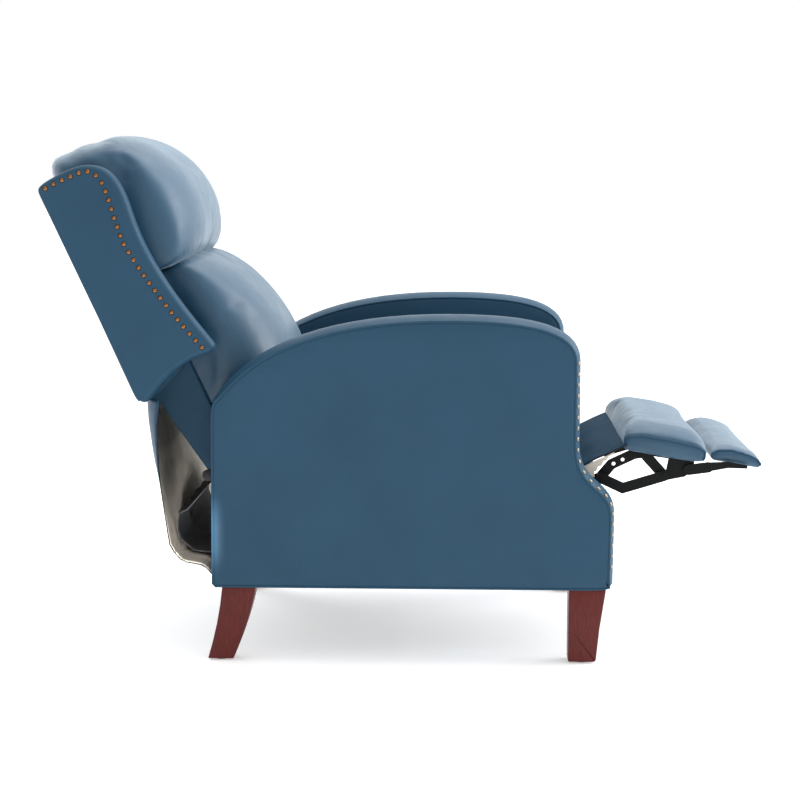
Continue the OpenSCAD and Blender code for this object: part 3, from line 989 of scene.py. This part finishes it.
def islands(name):
    """Middle of each separate solid in a frame node."""
    bm = welded(name)
    left = set(bm.verts)
    middles = []
    while left:
        stack, group = [left.pop()], []
        while stack:
            vert = stack.pop()
            group.append(vert.co.copy())
            for edge in vert.link_edges:
                other = edge.other_vert(vert)
                if other in left:
                    left.discard(other)
                    stack.append(other)
        low = Vector([min(co[i] for co in group) for i in range(3)])
        high = Vector([max(co[i] for co in group) for i in range(3)])
        middles.append((low + high) / 2)
    bm.free()
    return middles


class RECLINER_OT_nails(bpy.types.Operator):
    """Drive the domed nails into the wings and the arm fronts"""

    bl_idname = "recliner.nails"
    bl_label = "Nails"

    def execute(self, context):
        sizes = context.scene.recliner_sizes
        for side in SIDES:
            # The arm nails take the pale brass: a painted glint on their heads.
            for part, body, brass in (("wing", "back", "antique_brass"), ("arm", "base", "brass_painted_glint")):
                cloth_top = surface(bpy.data.objects[f"{part}_{side}_upholstery"])
                bm = bmesh.new()
                for middle in islands(f"{part}_nails_{side}"):
                    spot, normal = cloth_top.find_nearest(middle)[:2]
                    seat = Matrix.Translation(spot) @ normal.to_track_quat("Z", "Y").to_matrix().to_4x4()
                    flat = Matrix.Diagonal((1, 1, 2 * sizes.nail_height / sizes.nail_width, 1))
                    radius = sizes.nail_width / 2
                    bmesh.ops.create_uvsphere(bm, u_segments=12, v_segments=8, radius=radius, matrix=seat @ flat)
                    # The flared collar under each head takes the dark brass: a painted shadow round the foot of
                    # the nail.
                    rim = bmesh.ops.create_cone(
                        bm, cap_ends=True, segments=12,
                        radius1=1.3 * radius, radius2=radius, depth=1.6 * MM, matrix=seat,
                    )
                    for face in {f for v in rim["verts"] for f in v.link_faces}:
                        face.material_index = 1
                heads = piece(f"{part}_{side}_nail_heads", bm, brass)
                heads.data.materials.append(finish("brass_painted_shadow"))
                belongs(heads, body, "antique_brass_nails", f"{part}_nails_{side}")
        return {"FINISHED"}


class RECLINER_OT_legs(bpy.types.Operator):
    """Round off and lacquer the four legs"""

    bl_idname = "recliner.legs"
    bl_label = "Legs"

    def execute(self, context):
        for side in SIDES:
            for end in ("front", "rear"):
                name = f"leg_{end}_{side}"
                bm = welded(name)
                bmesh.ops.dissolve_limit(
                    bm, angle_limit=math.radians(2), verts=bm.verts, edges=bm.edges, use_dissolve_boundaries=False
                )
                edges = [e for e in bm.edges if e.calc_face_angle(0) > math.radians(50)]
                edges = [e for e in edges if e.calc_length() > 12 * MM]
                round_off(bm, edges, 2.5 * MM)
                leg = piece(f"{name}_turned", bm, "lacquered_mahogany", 30)
                belongs(leg, "base", "mahogany_stained_wood", name)
        return {"FINISHED"}


# ---- Studio ----


class RECLINER_OT_studio(bpy.types.Operator):
    """Lay the floor, hang the lights and set the camera"""

    bl_idname = "recliner.studio"
    bl_label = "Studio"

    def execute(self, context):
        scene = context.scene
        bm = bmesh.new()
        bmesh.ops.create_grid(bm, x_segments=4, y_segments=4, size=30)
        material, shader, coords = start("pale_floor")
        speck = add(material, "TexNoise", {"Vector": coords, "Scale": 40.0, "Detail": 3.0})
        rgb = scene.recliner_colours.floor
        shade = mix(material, speck.outputs[0], tone(rgb, 0.99), tone(rgb, 1.01))
        link(material, shade, shader.inputs["Base Color"])
        dress(shader, Roughness=0.85, Emission_Color=(1, 1, 1, 1), Emission_Strength=FLOOR_GLOW)
        floor = piece("studio_floor", bm, "pale_floor")

        world = bpy.data.worlds.new("studio")
        scene.world = world
        world.use_nodes = True
        backdrop = world.node_tree.nodes["Background"]
        way = add(world, "TexCoord").outputs["Generated"]
        facing = add(world, "VectorMath", {0: way, 1: BRIGHT_SIDE}, operation="DOT_PRODUCT")
        glow = add(world, "MapRange", {0: facing.outputs["Value"], 1: -1.0, 2: 1.0, 3: AMBIENT[0], 4: AMBIENT[1]})
        seen = add(world, "LightPath").outputs["Is Camera Ray"]
        level = add(world, "MapRange", {0: seen, 3: glow.outputs[0], 4: 1.0})
        link(world, level.outputs[0], backdrop.inputs["Strength"])
        backdrop.inputs["Color"].default_value = (1, 1, 1, 1)

        for name, at, aim, size, power in LIGHTS:
            light = bpy.data.lights.new(name, "AREA")
            light.shape = "RECTANGLE"
            light.size, light.size_y = size
            light.energy = power
            light.spread = math.radians(SPREAD.get(name, 180))
            lamp = bpy.data.objects.new(name, light)
            scene.collection.objects.link(lamp)
            lamp.visible_camera = False
            lamp.location = at
            lamp.rotation_mode = "QUATERNION"
            lamp.rotation_quaternion = (Vector(aim) - Vector(at)).to_track_quat("-Z", "Y")

        lens = bpy.data.cameras.new("camera")
        lens.sensor_width = 36
        lens.lens = LENS
        lens.clip_end = 100
        camera = bpy.data.objects.new("camera", lens)
        scene.collection.objects.link(camera)
        yaw, pitch, roll = (math.radians(a) for a in VIEW)
        look = Vector((math.cos(yaw) * math.cos(pitch), math.sin(yaw) * math.cos(pitch), -math.sin(pitch)))
        right = Vector((math.sin(yaw), -math.cos(yaw), 0))
        up = right.cross(look)
        turned = math.cos(roll) * right + math.sin(roll) * up
        raised = -math.sin(roll) * right + math.cos(roll) * up
        camera.matrix_world = Matrix.Translation(STAND) @ Matrix((turned, raised, -look)).transposed().to_4x4()
        scene.camera = camera
        scene.view_settings.view_transform = "Standard"
        return {"FINISHED"}


# Place of the camera, its turn, tilt and roll in degrees, and its focal length in millimetres
STAND = Vector((-4.2547, -0.0988, 0.9509))
VIEW = (1.558, 6.680, 0.205)
LENS = 95.894
# The floor gives off some light of its own, so that it is as pale as the backdrop
FLOOR_GLOW = 0.42
# The backdrop is dim on the side of the camera and bright behind the chair
BRIGHT_SIDE = (0.78, -0.35, 0.52)
AMBIENT = (0.32, 1.45)
# Name, place, aim, size and power of each soft light
LIGHTS = (
    ("front_softbox", (0.9, -3.3, 2.2), (0, 0, 0.7), (2.6, 2.6), 110),
    ("overhead_softbox", (0.6, -0.7, 3.3), (0, 0, 0.4), (2.6, 2.6), 45),
    ("rear_softbox", (1.9, 1.3, 0.8), (0, 0.45, 0.3), (0.9, 0.9), 12),
    ("flap_fill", (-0.85, 0.38, 0.2), (0.3, 0.41, 0.3), (0.03, 0.1), 0.2),
)
# The fill inside the rear flap has a honeycomb, so that it lights nothing else
SPREAD = {"flap_fill": 12}


class RECLINER_PT_panel(bpy.types.Panel):
    """Sizes, colours and steps of the recliner"""

    bl_label = "Recliner"
    bl_idname = "RECLINER_PT_panel"
    bl_space_type = "VIEW_3D"
    bl_region_type = "UI"
    bl_category = "Recliner"

    def draw(self, context):
        for group in (context.scene.recliner_sizes, context.scene.recliner_colours):
            for name in group.bl_rna.properties.keys():
                if name not in ("rna_type", "name"):
                    self.layout.prop(group, name)
        for step in STEPS:
            self.layout.operator(step.bl_idname)


STEPS = (
    RECLINER_OT_finishes,
    RECLINER_OT_arms,
    RECLINER_OT_wings,
    RECLINER_OT_rails,
    RECLINER_OT_back,
    RECLINER_OT_cushions,
    RECLINER_OT_footrest,
    RECLINER_OT_loose_fabric,
    RECLINER_OT_nails,
    RECLINER_OT_legs,
    RECLINER_OT_studio,
)
CLASSES = (ReclinerSizes, ReclinerColours, *STEPS, RECLINER_PT_panel)


def register():
    for cls in CLASSES:
        bpy.utils.register_class(cls)
    bpy.types.Scene.recliner_sizes = PointerProperty(type=ReclinerSizes)
    bpy.types.Scene.recliner_colours = PointerProperty(type=ReclinerColours)


def unregister():
    del bpy.types.Scene.recliner_sizes
    del bpy.types.Scene.recliner_colours
    for cls in reversed(CLASSES):
        bpy.utils.unregister_class(cls)


def main():
    register()
    for step in STEPS:
        getattr(bpy.ops.recliner, step.bl_idname.split(".")[1])()


if __name__ == "__main__":
    main()
